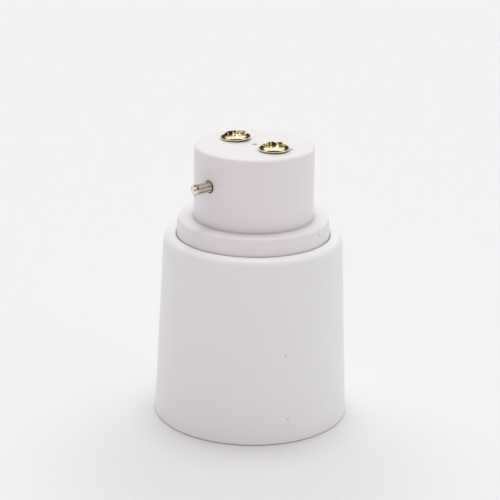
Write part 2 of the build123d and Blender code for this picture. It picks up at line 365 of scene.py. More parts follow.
def arc(before, corner, after, radius):
    """The points of a round between two runs that meet at a corner."""
    back = (before - corner).normalized()
    ahead = (after - corner).normalized()
    half = back.angle(ahead) / 2
    centre = corner + (back + ahead).normalized() * radius / math.sin(half)
    start = corner + back * radius / math.tan(half) - centre
    sweep = start.angle_signed(corner + ahead * radius / math.tan(half) - centre)
    pieces = max(2, math.ceil(abs(sweep) / ARC_STEP))
    return [centre + Matrix.Rotation(-sweep * share / pieces, 2) @ start for share in range(pieces + 1)]


def new_piece(name, mesh):
    """A new object at the origin that shows a mesh."""
    obj = bpy.data.objects.new(name, mesh)
    bpy.context.scene.collection.objects.link(obj)
    return obj


def formed(name, form):
    """A new object from a finished form, with its faces turned outwards."""
    bmesh.ops.recalc_face_normals(form, faces=form.faces)
    mesh = bpy.data.meshes.new(name)
    form.to_mesh(mesh)
    form.free()
    return new_piece(name, mesh)


def turned(name, section, segments, closed=False):
    """A new object whose section is spun about Z. An open section starts and ends on the axis."""
    form = bmesh.new()
    ring = [form.verts.new((across, 0.0, up)) for across, up in section]
    after = ring[1:] + ring[:1] if closed else ring[1:]
    edges = [form.edges.new(pair) for pair in zip(ring, after)]
    bmesh.ops.spin(form, geom=ring + edges, axis=UP, angle=TURN, steps=segments, use_merge=True)
    bmesh.ops.remove_doubles(form, verts=form.verts, dist=WELD)
    return formed(name, form)


def settle(obj, slot, *nodes):
    """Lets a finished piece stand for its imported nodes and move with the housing."""
    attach(obj, SEAT)
    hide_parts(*nodes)


def level(heading):
    """A level direction: -Y at a heading of 0, and towards +X as it grows."""
    return Vector((math.sin(heading), -math.cos(heading), 0.0))


# Settings

def length(name, description, millimetres):
    return FloatProperty(
        name=name, description=description, default=millimetres * MM, min=0.0, precision=5,
        subtype="DISTANCE", unit="LENGTH",
    )


def angle(name, description, degrees):
    return FloatProperty(
        name=name, description=description, default=math.radians(degrees), subtype="ANGLE", unit="ROTATION",
    )


def colour(name, description, default):
    return FloatVectorProperty(
        name=name, description=description, default=default, min=0.0, max=1.0, subtype="COLOR",
    )


def count(name, description, default):
    return IntProperty(name=name, description=description, default=default, min=3)


def strength(name, description, default):
    return FloatProperty(name=name, description=description, default=default, min=0.0)


class ShellSizes(bpy.types.PropertyGroup):
    """Sizes of the tapered skirt."""

    top_radius: length("Top radius", "Outer radius at the shoulder, before its round", 16.45)
    wall: length("Wall", "Thickness of the skirt's wall", 1.9)
    cup_wall: length("Cup wall", "Thickness of the wall round the bayonet base", 2.3)
    shoulder: length("Shoulder", "Round of the upper outer edge", 1.3)
    rim_round: length("Rim round", "Round of the two edges at the open rim", 0.25)
    cup_round: length("Cup round", "Round of the edge beside the bayonet base", 0.4)
    rib_count: count("Ribs", "Ribs round the screw sleeve", 6)
    rib_thickness: length("Rib thickness", "Thickness of each rib", 1.2)
    rib_inner: length("Rib reach", "Distance from the axis to a rib's inner edge", 13.85)
    rib_bottom: length("Rib bottom", "Height at which the ribs start", 7.0)
    rivet_hole: length("Rivet hole", "Radius of the rivets' holes", 1.05)
    screw_hole: length("Screw hole", "Radius of the screws' holes", 1.25)


class BaseSizes(bpy.types.PropertyGroup):
    """Sizes of the bayonet cap and the collar under it."""

    cap_radius: length("Cap radius", "Outer radius of the bayonet cap", 11.0)
    collar_top: length("Collar height", "Height of the collar's upper face", 38.0)
    collar_radius: length("Collar radius", "Radius of the collar's upper edge", 13.9)
    cap_wall: length("Cap wall", "Thickness of the cap's wall and roof", 1.8)
    collar_wall: length("Collar wall", "Thickness of the collar's wall and roof", 2.0)
    cap_round: length("Cap round", "Round of the cap's upper edge", 0.45)
    foot_round: length("Foot round", "Hollow round where the cap meets the collar", 0.2)
    collar_round: length("Collar round", "Round of the collar's upper edge", 0.4)
    cavity_round: length("Cavity round", "Rounds inside", 0.5)
    pin_hole: length("Pin hole", "Radius of the pins' holes", 1.02)
    pin_relief: length("Pin relief", "Radius of the wider mouth of the pins' holes", 1.16)
    relief_depth: length("Relief depth", "Depth of the wider mouth", 0.6)
    contact_hole: length("Contact hole", "Radius of the contacts' holes", 1.63)
    gate_radius: length("Gate mark", "Radius of the moulding gate's mark", 0.5)
    gate_depth: length("Gate depth", "Depth of the moulding gate's mark", 0.2)
    pin_rib_width: length("Pin rib", "Width of the ribs that take the pins", 4.8)
    pin_rib_drop: length("Pin rib drop", "How far those ribs reach below the pins' axes", 2.6)
    pin_rib_end: length("Pin rib end", "Plastic behind each pin", 0.6)
    boss_radius: length("Boss", "Radius of the screw bosses", 2.4)
    boss_top: length("Boss height", "Height at which the bosses end", 37.4)
    boss_hole: length("Boss hole", "Radius of the bosses' pilot holes", 1.12)
    boss_hole_top: length("Boss hole height", "Height at which the pilot holes end", 36.2)
    boss_web: length("Boss web", "Thickness of the webs behind the bosses", 1.6)


class PinSizes(bpy.types.PropertyGroup):
    """Sizes of the two fluted pins."""

    chamfer: length("Chamfer", "Chamfer at both ends", 0.2)
    groove: length("Groove", "Depth of the groove inside the wall", 0.14)
    flutes: count("Flutes", "Straight flutes round each pin", 8)
    flute_depth: length("Flute depth", "Greatest depth of a flute", 0.19)


class ContactSizes(bpy.types.PropertyGroup):
    """Sizes of the two dished contacts."""

    rise: length("Rise", "Height of the rim's crest above the roof", 0.8464)
    rim: length("Rim", "Width of the rolled rim round the dish", 0.3)
    rim_round: length("Rim round", "Round of the rim's crest", 0.14)
    rim_lift: length("Rim lift", "Height of the rim's lower edge above the roof", 0.27)
    low_rim: length("Low rim", "Height of the rim above the dish's floor where it is lowest", 0.04)
    foot: length("Foot", "Radius of the head where it meets the roof", 2.4)
    dish_radius: length("Dish", "Radius of the dish's floor", 2.45)
    dish_height: length("Dish height", "Height of the dish's floor above the roof", 0.3)
    tilt: length("Tilt", "How much the first head leans to one end", 0.15)
    shank: length("Shank", "Radius of the shank", 1.6)
    tail: length("Tail", "Radius of the clinched tail", 2.3)
    tail_height: length("Tail height", "Thickness of the clinched tail", 0.4)
    bore: length("Bore", "Radius of the shank's bore", 0.9)
    bore_end: length("Bore end", "Depth of the bore's end below the roof's face", 1.0)
    sides: count("Dish sides", "Flats pressed round the dish", 6)
    turn: angle("Turn", "Turn of the dishes' corners about their axes", 136.0)
    dent_depth: length("Dent depth", "Depth of the crimps inside the rim", 0.1)


class SleeveSizes(bpy.types.PropertyGroup):
    """Sizes of the screw sleeve and its rolled thread."""

    thread_radius: length("Thread radius", "Radius at the root of the thread", 13.3)
    thread_depth: length("Thread depth", "How far the crests stand inside the root", 1.1)
    pitch: length("Pitch", "Rise of the thread in one turn", 3.629)
    run_out: length("Run-out", "Height over which the thread fades at each end", 1.8)
    sheet: length("Sheet", "Thickness of the sheet", 0.4)
    lip_round: length("Lip round", "Round of the flared mouth", 0.9)
    neck: length("Neck", "Height of the plain neck at the floor", 3.9)
    neck_round: length("Neck round", "Rounds where the neck narrows", 0.6)
    floor_round: length("Floor round", "Round between the neck and the floor", 0.8)
    opening: length("Opening", "Radius of the opening in the floor", 10.6)
    screw_tab: length("Screw tab", "Half width of the tabs under the screws", 2.5)
    rivet_tab: length("Rivet tab", "Half width of the tab at the rivet", 2.0)


class LeafSizes(bpy.types.PropertyGroup):
    """Sizes of the spring leaf that meets the bulb's tip."""

    sheet: length("Sheet", "Thickness of the leaf", 0.4)
    tip_width: length("Tip width", "Width at the turned-up tip", 3.6)
    apex: length("Apex", "Distance of the lowest bend from the axis", 0.2)
    drop: length("Drop", "How far the lowest bend lies below the cross wall", 4.65)
    tip_reach: length("Tip reach", "Run of the turned-up tip", 2.4)
    tip_lift: length("Tip lift", "Rise of the turned-up tip", 1.75)
    bend: length("Bend", "Inner round of the bends", 1.0)
    corner: length("Corner", "Round of the leaf's corners", 0.8)


class RivetSizes(bpy.types.PropertyGroup):
    """Sizes of the two rivets in the cross wall."""

    shank: length("Shank", "Radius of the shank", 1.0)
    head: length("Head", "Height of the heads", 0.8)
    head_slant: length("Head slant", "Slant of the heads' edges", 0.3)


class ScrewSizes(bpy.types.PropertyGroup):
    """Sizes of the two screws that hold the base to the shell."""

    shank: length("Shank", "Radius over the thread", 1.1)
    head: length("Head", "Height of the head", 1.4)
    head_round: length("Head round", "Round of the head's edge", 0.9)
    point: length("Point", "Length of the point", 1.2)
    point_radius: length("Point radius", "Radius of the blunt tip", 0.3)
    pitch: length("Pitch", "Rise of the thread in one turn", 0.9)
    thread_depth: length("Thread depth", "Depth of the thread", 0.25)
    recess_width: length("Recess width", "Width of the cross recess's arms", 0.5)
    recess_reach: length("Recess reach", "Reach of the cross recess's arms", 1.15)
    recess_depth: length("Recess depth", "Depth of the cross recess", 0.8)


class Finishes(bpy.types.PropertyGroup):
    """Colours of the plastics and metals."""

    shell: colour("Shell", "White plastic of the skirt", (0.846, 0.859, 0.857))
    # A little darker and pinker than the shell's white, which paints the shade and its pink cast on the cap's
    # walls
    base: colour("Base", "White plastic of the bayonet base", (0.832, 0.815, 0.821))
    # Also the colour of painted shade: at the shell's rim, in the collar's gap, at the cap's foot, round the
    # pins and in the gate mark
    grime: colour("Grime", "Specks and dust on the plastic", (0.10, 0.09, 0.075))
    pin: colour("Pin", "Plated steel of the pins", (0.68, 0.61, 0.50))
    pin_cut: colour("Pin end", "Worn free ends of the pins", (0.88, 0.78, 0.70))
    # Also the colour of painted shade in the flutes and on the pins' part inside the wall
    flute: colour("Flute", "Dirt down in the pins' flutes", (0.15, 0.12, 0.085))
    contact: colour("Contact", "Pale brass of the contacts", (1.0, 0.95, 0.78))
    gilt: colour("Gilt", "Thin film on the contacts", (0.60, 0.47, 0.20))
    # Also the colour of painted shade and painted dark reflection on the contacts
    tarnish_and_shade: colour("Tarnish", "Dark film in the contacts' crimps", (0.04, 0.03, 0.018))
    brass: colour("Brass", "Sheet and turned brass inside", (0.80, 0.60, 0.28))
    nickel: colour("Nickel", "Plating of the screw sleeve", (0.74, 0.71, 0.66))
    bronze: colour("Bronze", "Spring sheet of the centre contact", (0.79, 0.50, 0.28))
    zinc: colour("Zinc", "Plating of the screws", (0.64, 0.65, 0.66))


class StageSettings(bpy.types.PropertyGroup):
    """Floor, light and camera."""

    azimuth: angle("Azimuth", "Direction of the camera round the adapter", -43.0)
    elevation: angle("Elevation", "Height of the camera above the horizon", 18.982)
    distance: length("Distance", "Distance from the camera to its aim", 334.11)
    aim: length("Aim", "Height of the point that the camera looks at", 30.0)
    pan: angle("Pan", "Turn of the camera away from its aim", -0.089)
    tilt: angle("Tilt", "Lift of the camera above its aim", 0.216)
    roll: angle("Roll", "Turn of the camera about its own line", 1.0)
    lens: FloatProperty(name="Lens", description="Focal length", default=129.85, unit="CAMERA")
    floor: colour("Floor", "Pale floor behind the adapter", (0.88, 0.885, 0.883))
    floor_front: colour("Floor front", "Pale floor before the adapter", (0.785, 0.785, 0.785))
    floor_reach: length("Floor reach", "Half width of the floor", 4000.0)
    light: strength("Light", "Strength of the light all round", 0.83)
    gather: strength("Gather", "How much the light gathers overhead", 0.3)
    side_light: strength("Side light", "How much one side is brighter", 0.16)
    side_azimuth: angle("Side azimuth", "Direction of the brighter side", 70.0)
    softbox: strength("Softbox", "Strength of the softbox overhead", 5.9)
    softbox_lean: angle("Softbox lean", "Lean of the softbox away from the camera", 9.0)
    softbox_spread: angle("Softbox spread", "Half width of the softbox", 12.0)
    backdrop: strength("Backdrop", "Strength of the lit backdrop behind", 0.45)
    fill: strength("Fill", "Strength of the low light from the front", 0.2)
    warmth: colour("Warmth", "Tint of the low light from the front", (1.0, 0.73, 0.82))
    warm_turn: angle("Warm turn", "Turn of the tinted light to the camera's left", 15.0)


class AdapterSettings(bpy.types.PropertyGroup):
    """All settings of the adapter."""

    shell: PointerProperty(type=ShellSizes)
    base: PointerProperty(type=BaseSizes)
    pins: PointerProperty(type=PinSizes)
    contacts: PointerProperty(type=ContactSizes)
    sleeve: PointerProperty(type=SleeveSizes)
    leaf: PointerProperty(type=LeafSizes)
    rivets: PointerProperty(type=RivetSizes)
    screws: PointerProperty(type=ScrewSizes)
    finishes: PointerProperty(type=Finishes)
    stage: PointerProperty(type=StageSettings)


# Materials

def shaded(tint, factor):
    """A colour made paler or darker."""
    return tuple(part * factor for part in tint)


def white_plastic(name, tint, grime, dirt_and_shade_on):
    """White moulded plastic: faint clouding, a fine grain, and specks and painted shade where
    dirt_and_shade_on puts them.
    """
    skin = SurfaceTree(name)
    clouds = skin.noise(skin.place, scale=90.0, detail=3.0)
    grain = skin.noise(skin.place, scale=5200.0, roughness=0.6)
    white = skin.mix(clouds, tint, shaded(tint, 1.015))
    skin.set(base_color=skin.mix(dirt_and_shade_on(skin), white, grime))
    skin.set(roughness=0.3 + 0.1 * clouds, ior=1.45)
    skin.bump(grain, depth=2e-6)
    return skin.material


def plated_steel(name, tint, stretch):
    """Plated steel with drawn streaks along one axis."""
    skin = SurfaceTree(name)
    streaks = skin.noise(skin.stretched(stretch), scale=2600.0, detail=3.0)
    blotches = skin.noise(skin.place, scale=700.0)
    dark = shaded(tint, 0.72)
    skin.set(base_color=skin.mix(blotches, dark, tint), metallic=1.0, roughness=0.3 + 0.18 * streaks)
    skin.bump(streaks, depth=3e-6)
    return skin.material


def fluted_steel(finishes):
    """Dull plated steel: grimy and with painted shade down in the flutes, painted shade on the part inside
    the wall, pale where the free end is worn.
    """
    skin = SurfaceTree("pin_steel_skin")
    streaks = skin.noise(skin.stretched((0.1, 1.0, 1.0)), scale=3200.0, detail=3.0)
    blotches = skin.noise(skin.place, scale=1500.0, detail=3.0)
    body = skin.mix(skin.attribute("cut"), finishes.pin, finishes.pin_cut)
    grime = skin.rise(skin.attribute("grime") + 0.6 * blotches - 0.3, 0.15, 0.8)
    skin.set(base_color=skin.mix(grime, body, finishes.flute), metallic=1.0, roughness=0.2 + 0.2 * streaks)
    skin.bump(streaks, depth=4e-6)
    return skin.material


def sheet_metal(name, tint, stretch, dull=0.24):
    """Rolled sheet: fine rolling lines, a few cloudy patches of tarnish."""
    skin = SurfaceTree(name)
    lines = skin.noise(skin.stretched(stretch), scale=3000.0, detail=4.0)
    patches = skin.rise(skin.noise(skin.place, scale=260.0, detail=4.0), 0.42, 0.72)
    dull_tint = shaded(tint, 0.6)
    skin.set(base_color=skin.mix(patches, tint, dull_tint), metallic=1.0)
    skin.set(roughness=dull + 0.2 * lines + 0.12 * patches)
    skin.bump(lines, depth=2e-6)
    return skin.material


def pressed_brass(finishes):
    """Pale brass: bright in the dish, golden where thinly filmed, dark where painted shade and painted
    reflection lie in the crimps, the end corners and under the rim.
    """
    skin = SurfaceTree("pressed_brass")
    mottle = skin.noise(skin.place, scale=2400.0, detail=3.0)
    film = skin.attribute("film") + 0.2 * mottle - 0.1
    dark = skin.rise(film, 0.25, 0.8)
    brass = skin.mix(skin.rise(film, 0.05, 0.35), finishes.contact, finishes.gilt)
    skin.set(base_color=skin.mix(dark, brass, finishes.tarnish_and_shade), metallic=1.0)
    skin.set(roughness=0.15 + 0.1 * mottle + 0.5 * dark, specular_tint=finishes.contact)
    skin.bump(mottle, depth=5e-6)
    return skin.material


# Pieces

class Undoable:
    """What the operators share."""

    bl_options = {"REGISTER", "UNDO"}


class ADAPTER_OT_shell(Undoable, bpy.types.Operator):
    """Tapered skirt with its cross wall, the cup above it and the ribs below"""

    bl_idname = "adapter.shell"
    bl_label = "Outer shell"

    def execute(self, context):
        settings = context.scene.adapter
        size = settings.shell
        rim = SHELL_HIGH.x
        taper = (rim - size.top_radius) / SHELL_HIGH.z
        cup = size.top_radius - size.cup_wall

        def skirt(height):
            """The outer radius at a height."""
            return rim - taper * height

        section = rounded([
            (0.0, CROSS_BOTTOM, 0.0),
            (skirt(CROSS_BOTTOM) - size.wall, CROSS_BOTTOM, 0.0),
            (rim - size.wall, 0.0, size.rim_round),
            (rim, 0.0, size.rim_round),
            (size.top_radius, SHELL_HIGH.z, size.shoulder),
            (cup, SHELL_HIGH.z, size.cup_round),
            (cup, CROSS_TOP, 0.0),
            (0.0, CROSS_TOP, 0.0),
        ], step=1.5 * MM)
        obj = turned("outer_shell_moulding", section, segments=240)
        tree = ShapeTree("Skirt ribs and holes", {
            "Ribs": size.rib_count, "Rib thickness": size.rib_thickness, "Rib reach": size.rib_inner,
            "Rivet hole": size.rivet_hole, "Screw hole": size.screw_hole,
        })
        bite = size.wall / 4
        rib_inner = tree["Rib reach"]
        rib_outer = skirt(size.rib_bottom) - size.wall + bite
        rib_top = CROSS_BOTTOM + bite
        rib = tree.block(rib_outer - rib_inner, tree["Rib thickness"], rib_top - size.rib_bottom)
        heading = (tree.index() + 0.5) * (TURN / size.rib_count)
        middle = (rib_inner + rib_outer) * 0.5
        place = tree.combine(
            middle * tree.math("COSINE", heading),
            middle * tree.math("SINE", heading),
            (size.rib_bottom + rib_top) / 2,
        )
        ribs = tree.placed(rib, tree["Ribs"], place, tree.combine(z=heading))
        through = 2 * (CROSS_TOP - CROSS_BOTTOM)
        height = (CROSS_TOP + CROSS_BOTTOM) / 2
        rivet_holes = tree.twins(tree.rod(tree["Rivet hole"], through), y=RIVET_OFFSET, z=height)
        screw_holes = tree.twins(tree.rod(tree["Screw hole"], through), x=SCREW_OFFSET, z=height)
        moulding = tree.cut(tree.joined(tree["Blank"], ribs), rivet_holes, screw_holes)

        def dirt_and_shade_on(skin):
            """Painted contact shadow in a thin band at the foot of the rim, and two specks on the front."""
            line = skin.fall(skin.separate(skin.place)[2], 0.05 * MM, 0.3 * MM)
            upper = skin.speck(-111.9, skirt(16.8 * MM), 16.8 * MM, 0.2 * MM)
            lower = skin.speck(-110.3, skirt(4.7 * MM), 4.7 * MM, 0.17 * MM)
            return skin.most(0.65 * line, 0.6 * upper, 0.8 * lower)

        finishes = settings.finishes
        skin = white_plastic("shell_plastic_skin", finishes.shell, finishes.grime, dirt_and_shade_on)
        tree.shape(obj, moulding, skin)
        settle(obj, "shell_plastic", "outer_shell")
        return {"FINISHED"}


class ADAPTER_OT_base(Undoable, bpy.types.Operator):
    """Bayonet cap, collar and spigot in one hollow moulding"""

    bl_idname = "adapter.base"
    bl_label = "Bayonet base"

    def execute(self, context):
        settings = context.scene.adapter
        size = settings.base
        foot = BASE_HIGH.x
        spigot = foot - size.collar_wall
        collar_ceiling = size.collar_top - size.collar_wall
        cavity = size.cap_radius - size.cap_wall
        ceiling = CAP_TOP - size.cap_wall
        section = rounded([
            (0.0, CAP_TOP, 0.0),
            (size.cap_radius, CAP_TOP, size.cap_round),
            (size.cap_radius, size.collar_top, size.foot_round),
            (size.collar_radius, size.collar_top, size.collar_round),
            (foot, SHELL_HIGH.z, 0.0),
            (foot, CROSS_TOP, 0.0),
            (spigot, CROSS_TOP, 0.0),
            (spigot, collar_ceiling, size.cavity_round),
            (cavity, collar_ceiling, size.cavity_round),
            (cavity, ceiling, size.cavity_round),
            (0.0, ceiling, 0.0),
        ], step=1.2 * MM)
        obj = turned("bayonet_base_moulding", section, segments=240)
        tree = ShapeTree("Base ribs, bosses and holes", {
            "Pin hole": size.pin_hole, "Pin relief": size.pin_relief, "Relief depth": size.relief_depth,
            "Contact hole": size.contact_hole, "Gate radius": size.gate_radius,
            "Gate depth": size.gate_depth, "Boss radius": size.boss_radius, "Boss hole": size.boss_hole,
            "Boss web": size.boss_web, "Pin rib width": size.pin_rib_width,
        })
        half_turn = tree.combine(z=tree.index() * math.pi)

        def blocks(inner, outer, width, low, high):
            """Two blocks between two distances from the axis and two heights."""
            block = tree.block(outer - inner, width, high - low)
            return tree.twins(block, x=(inner + outer) / 2, z=(low + high) / 2, turn=half_turn)

        def posts(radius, low, high):
            """Two upright rods on the screws' axes."""
            rod = tree.rod(radius, high - low)
            return tree.twins(rod, x=SCREW_OFFSET, z=(low + high) / 2, turn=half_turn)

        def pin_holes(radius, depth, sides=48):
            """Two holes for the pins, to a depth below the cap's wall."""
            rod = tree.rod(radius, 2.0 * depth, sides)
            return tree.twins(rod, x=size.cap_radius, z=PIN_HEIGHT, turn=tree.lying())

        pin_end = PIN_LOW.x
        wall_middle = size.cap_radius - size.cap_wall / 2
        ribs = blocks(
            pin_end - size.pin_rib_end, wall_middle, tree["Pin rib width"],
            PIN_HEIGHT - size.pin_rib_drop, CAP_TOP - size.cap_wall / 2,
        )
        webs = blocks(
            SCREW_OFFSET, foot - size.collar_wall / 2, tree["Boss web"],
            CROSS_TOP, collar_ceiling + size.collar_wall / 2,
        )
        bosses = posts(tree["Boss radius"], CROSS_TOP, size.boss_top)
        moulding = tree.joined(tree["Blank"], ribs, bosses, webs)
        boss_holes = posts(tree["Boss hole"], 2 * CROSS_TOP - size.boss_hole_top, size.boss_hole_top)
        shank_holes = pin_holes(tree["Pin hole"], size.cap_radius - pin_end)
        reliefs = pin_holes(tree["Pin relief"], tree["Relief depth"], sides=64)
        contact_rod = tree.rod(tree["Contact hole"], 4 * size.cap_wall)
        contact_holes = tree.twins(contact_rod, y=CONTACT_OFFSET, z=CAP_TOP)
        gate = tree.moved(tree.rod(tree["Gate radius"], 2.0 * tree["Gate depth"], 24), (0.0, 0.0, CAP_TOP))
        moulding = tree.cut(moulding, boss_holes, shank_holes, reliefs, contact_holes, gate)

        def dirt_and_shade_on(skin):
            """Painted shade in the gap round the collar, at the cap's foot, round the pins and in the gate
            mark, and three specks.
            """
            x, y, z = skin.separate(skin.place)
            # Painted shade on the collar just above the shell's edge, in the gap between the parts
            gap = skin.fall(z, SHELL_HIGH.z - 0.1 * MM, SHELL_HIGH.z + 0.2 * MM)
            # Painted shade where the cap meets the collar
            from_foot = skin.span(skin.span(x, y) - size.cap_radius, z - size.collar_top)
            foot_shade = 0.1 * skin.fall(from_foot, 0.0, 1.4 * MM)
            foot_shade = foot_shade + 0.2 * skin.fall(from_foot, 0.15 * MM, 0.5 * MM)
            # Painted shade in the wider mouths of the pins' holes
            from_pin = skin.span(y, z - PIN_HEIGHT)
            socket = skin.rise(abs(x), wall_middle - size.relief_depth, wall_middle)
            socket = socket * skin.fall(from_pin, size.pin_relief, 1.04 * size.pin_relief)
            fleck = skin.speck(-74.0, size.collar_radius, 36.9 * MM, 0.2 * MM)
            smear = skin.speck(-68.0, 7.15 * MM, CAP_TOP, 0.7 * MM)
            # Painted shade in the moulding gate's shallow mark
            gate_shade = skin.speck(0.0, 0.0, CAP_TOP, 1.3 * size.gate_radius)
            return skin.most(0.4 * gap, foot_shade, socket, 0.8 * fleck, 0.8 * smear, 0.5 * gate_shade)

        finishes = settings.finishes
        skin = white_plastic("base_plastic_skin", finishes.base, finishes.grime, dirt_and_shade_on)
        tree.shape(obj, moulding, skin)
        settle(obj, "base_plastic", "bayonet_base")
        return {"FINISHED"}


class ADAPTER_OT_pins(Undoable, bpy.types.Operator):
    """Two fluted pins, pressed into the cap's wall"""

    bl_idname = "adapter.pins"
    bl_label = "Bayonet pins"

    def execute(self, context):
        settings = context.scene.adapter
        size = settings.pins
        radius = (PIN_HIGH.z - PIN_LOW.z) / 2
        reach = PIN_HIGH.x - PIN_LOW.x
        free_start = settings.base.cap_radius - PIN_LOW.x
        groove_start = free_start - settings.base.relief_depth
        neck = radius - size.groove
        section = rounded([
            (0.0, 0.0, 0.0),
            (radius - size.chamfer, 0.0, 0.0),
            (radius, size.chamfer, 0.0),
            (radius, groove_start, 0.0),
            (neck, groove_start, 0.0),
            (neck, free_start, 0.0),
            (radius, free_start + size.groove / 4, 0.0),
            (radius, reach - size.chamfer, 0.0),
            (radius - size.chamfer, reach, size.chamfer / 4),
            (0.0, reach, 0.0),
        ], step=0.2 * MM)
        flute_segments = 18
        obj = turned("bayonet_pins_fluted", section, segments=flute_segments * size.flutes)
        tree = ShapeTree("Pin flutes", {"Flutes": size.flutes, "Flute depth": size.flute_depth})
        across, around, along = tree.polar()
        ragged = tree.noise(tree.position(), scale=1600.0, roughness=0.6)
        wave = 0.5 - 0.5 * tree.math("COSINE", around * TURN * tree["Flutes"])
        flute = wave * tree.rise(along, free_start, free_start + size.chamfer)
        depth = tree["Flute depth"] * (0.3 + 0.4 * ragged)
        pin = tree.pushed_out(tree["Blank"], depth * flute * across * (-1.0 / radius))
        # The free end is worn pale, with dirt and painted shade in the flutes, dark blots on the end and
        # painted shade on the part inside the wall
        frayed = along + 2.0 * size.chamfer * (ragged - 0.5)
        worn = tree.rise(frayed, reach - 3.2 * size.chamfer, reach - 2.0 * size.chamfer)
        flute_dirt_and_shade = tree.rise(flute * (0.4 + ragged), 0.45, 0.9) * tree.rise(across, neck / 2, radius)
        flute_dirt_and_shade = flute_dirt_and_shade * (0.62 + 0.38 * worn)
        blots = worn * tree.rise(ragged, 0.55, 0.63)
        # Painted shade on the part of the pin inside the wall's hole
        inside = tree.fall(along, free_start, free_start + size.groove / 2)
        pin = tree.stored(pin, "grime", tree.most(flute_dirt_and_shade, blots, inside))
        pin = tree.stored(pin, "cut", worn)
        pins = tree.twins(pin, x=PIN_LOW.x, z=PIN_HEIGHT, turn=tree.lying())
        tree.shape(obj, pins, fluted_steel(settings.finishes))
        settle(obj, "pin_steel", "bayonet_pin_left", "bayonet_pin_right")
        return {"FINISHED"}


class ADAPTER_OT_contacts(Undoable, bpy.types.Operator):
    """Two dished brass contacts, clinched through the cap's roof"""

    bl_idname = "adapter.contacts"
    bl_label = "Contacts"

    def execute(self, context):
        settings = context.scene.adapter
        size = settings.contacts
        radius = (CONTACT_HIGH.x - CONTACT_LOW.x) / 2
        bottom = CONTACT_LOW.z - CAP_TOP
        tail_top = bottom + size.tail_height
        crest_inner = radius - size.rim
        section = rounded([
            (0.0, size.dish_height, 0.0),
            (size.dish_radius, size.dish_height, size.rim_round),
            (crest_inner, size.rise, size.rim_round),
            (radius, size.rise, size.rim_round),
            (radius, size.rim_lift, size.rim_round / 2),
            (size.foot, 0.0, 0.0),
            (size.shank, 0.0, 0.0),
            (size.shank, tail_top, 0.0),
            (size.tail, tail_top, 0.0),
            (size.tail, bottom, 0.0),
            (size.bore, bottom, 0.0),
            (size.bore, -size.bore_end, 0.0),
            (0.0, -size.bore_end, 0.0),
        ], step=0.07 * MM)
        obj = turned("contacts_dished", section, segments=180)
        tree = ShapeTree("Contact dish", {
            "Sides": size.sides, "Dent depth": size.dent_depth, "Dish radius": size.dish_radius,
            "Low rim": size.low_rim, "Tilt": size.tilt,
        })
        across, around, up = tree.polar()
        end = tree.math("COSINE", around * TURN)
        front = tree.math("SINE", around * TURN)
        floor_edge = tree["Dish radius"]
        in_dish = tree.rise(up, 0.9 * size.dish_height, size.dish_height)
        in_dish = in_dish * tree.fall(across, crest_inner, crest_inner + size.rim_round)
        half_side = math.pi / size.sides
        from_corner = abs(tree.math("FRACT", around * tree["Sides"] + 10.5) - 0.5)
        flat = math.cos(half_side) / tree.math("COSINE", half_side - from_corner * (2 * half_side))
        squeeze = across * (flat - 1.0) * in_dish * tree.fall(across, floor_edge, crest_inner)
        # Painted shade and painted dark reflection, stored with the real film: along the crease round the
        # pressed flats, on the front flat, in the two end corners and behind them, in blobs at the back and
        # under the rim; a real film mottles slope, rim and wall
        slope = tree.rise(across, 0.97 * floor_edge, floor_edge) * in_dish
        edge = 0.7 * tree.fall(abs(across - 0.97 * floor_edge), 0.02 * floor_edge, 0.05 * floor_edge)
        near = tree.rise(front, 0.8, 0.9) * tree.rise(across, 0.64 * floor_edge, 0.76 * floor_edge)
        tips = tree.rise(abs(end) * across, 0.72 * floor_edge, 0.94 * floor_edge)
        front_and_end_shade = tree.most(near, tips) * in_dish
        behind_tips = tree.rise(0.87 * abs(end) - 0.5 * front, 0.78, 0.88)
        crest_start = size.rise - size.rim_round
        wall = tree.fall(up, crest_start, size.rise) * tree.rise(across, crest_inner, radius)
        # Painted shade under the rim's overhang
        under = tree.fall(up, size.rim_lift, 1.2 * size.rim_lift) * tree.rise(across, size.shank, size.foot)
        rim = tree.rise(across, crest_inner, crest_inner + size.rim_round / 2)
        rim = rim * tree.rise(up, crest_start, size.rise)
        # The rim stands highest at the back of the heads and lowest at the front
        low_share = tree["Low rim"] / (size.rise - size.dish_height) + 0.25 * tree.fall(front, 0.0, 0.6)
        sink = tree.most(up - size.dish_height, 0.0) * (low_share - 1.0) * tree.fall(-front, 0.55, 0.88)
        on_head = tree.rise(up, 0.0, size.rim_lift / 2)
        heads = []
        for side, share in ((1.0, 1.0), (-1.0, 0.4)):
            place = tree.vector("ADD", tree.position(), (0.0, 0.0, side * size.dish_radius))
            ragged = tree.noise(place, scale=1900.0, detail=3.0, roughness=0.6)
            facets = behind_tips * tree.rise(ragged + 0.2 * share * end, 0.48, 0.58)
            blobs = (0.2 + 0.8 * tree.rise(ragged, 0.48, 0.58)) * tree.rise(-front, 0.6, 0.85)
            crimp = tree.most(facets, blobs) * slope
            film = tree.most(
                crimp, front_and_end_shade, edge * in_dish * tree.rise(ragged, 0.3, 0.5),
                0.5 * ragged * tree.most(0.6 * slope, rim), 0.5 * under, 0.3 * ragged * wall,
            )
            head = tree.stored(tree["Blank"], "film", film)
            lean = end * across * on_head * tree["Tilt"] * (-share / radius)
            head = tree.pushed_out(head, squeeze + crimp * tree["Dent depth"], sink + lean)
            heads.append(tree.moved(head, (0.0, side * CONTACT_OFFSET, CAP_TOP), (0.0, 0.0, size.turn)))
        contacts = tree.add("GeometryNodeJoinGeometry", None, [heads])
        tree.shape(obj, contacts, pressed_brass(settings.finishes))
        settle(obj, "contact_brass", "contact_live", "contact_neutral")
        return {"FINISHED"}


